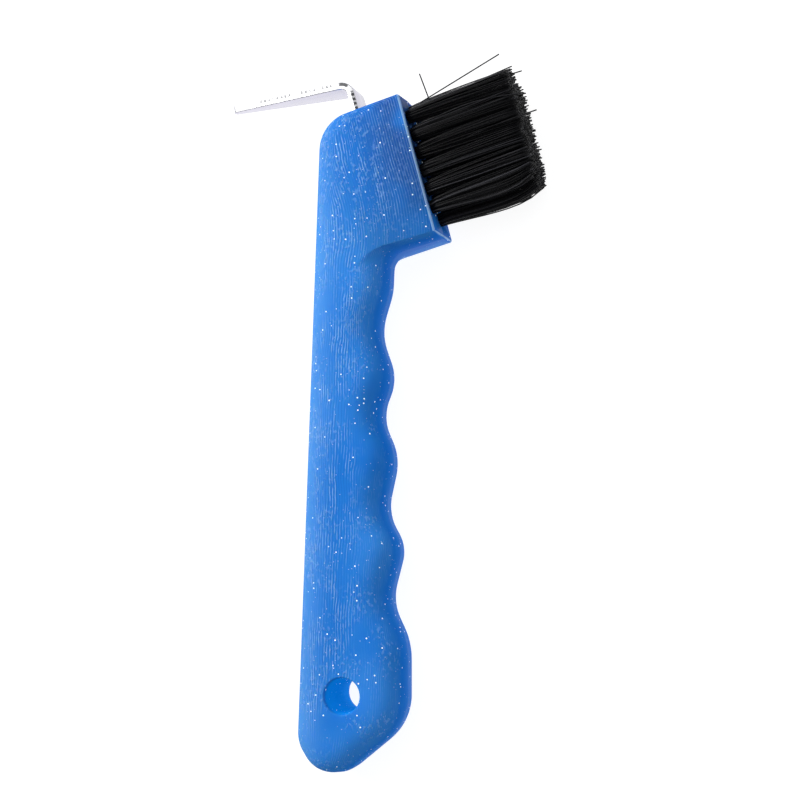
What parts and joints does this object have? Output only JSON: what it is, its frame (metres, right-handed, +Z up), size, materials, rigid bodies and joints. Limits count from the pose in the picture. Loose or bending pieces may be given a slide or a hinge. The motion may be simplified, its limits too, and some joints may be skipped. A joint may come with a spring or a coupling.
{
  "type": "hoof pick with brush",
  "caption": "Hand tool for cleaning hooves: a bent, tapered steel pick and a block of stiff bristles on a moulded handle with finger grooves and a hanging hole.",
  "frame": {"origin": "under the middle of the tool as it lies on its flat side, on the surface it rests on", "axes": "+X from the spine towards the bristles, +Y along the handle towards the head, +Z up through its thickness"},
  "size_m": [0.0796, 0.17, 0.022],
  "materials": {
    "handle_plastic": "slightly translucent moulded plastic with fine glitter and fine flow lines",
    "pick_steel": "bright plated steel strip with sheared edges",
    "bristle_nylon": "satin nylon monofilament",
    "anchor_wire": "drawn flat wire"
  },
  "bodies": {
    "root": {"handle": "handle_plastic", "pick": "pick_steel", "tuft_01": "bristle_nylon", "tuft_02": "bristle_nylon", "tuft_03": "bristle_nylon", "tuft_04": "bristle_nylon", "tuft_05": "bristle_nylon", "tuft_06": "bristle_nylon", "tuft_07": "bristle_nylon", "tuft_08": "bristle_nylon", "tuft_09": "bristle_nylon", "tuft_10": "bristle_nylon", "tuft_11": "bristle_nylon", "tuft_12": "bristle_nylon", "tuft_13": "bristle_nylon", "tuft_14": "bristle_nylon", "tuft_15": "bristle_nylon", "tuft_16": "bristle_nylon", "tuft_17": "bristle_nylon", "tuft_18": "bristle_nylon", "tuft_19": "bristle_nylon", "anchor_01": "anchor_wire", "anchor_02": "anchor_wire", "anchor_03": "anchor_wire", "anchor_04": "anchor_wire", "anchor_05": "anchor_wire", "anchor_06": "anchor_wire", "anchor_07": "anchor_wire", "anchor_08": "anchor_wire", "anchor_09": "anchor_wire", "anchor_10": "anchor_wire", "anchor_11": "anchor_wire", "anchor_12": "anchor_wire", "anchor_13": "anchor_wire", "anchor_14": "anchor_wire", "anchor_15": "anchor_wire", "anchor_16": "anchor_wire", "anchor_17": "anchor_wire", "anchor_18": "anchor_wire", "anchor_19": "anchor_wire"}
  },
  "joints": []
}
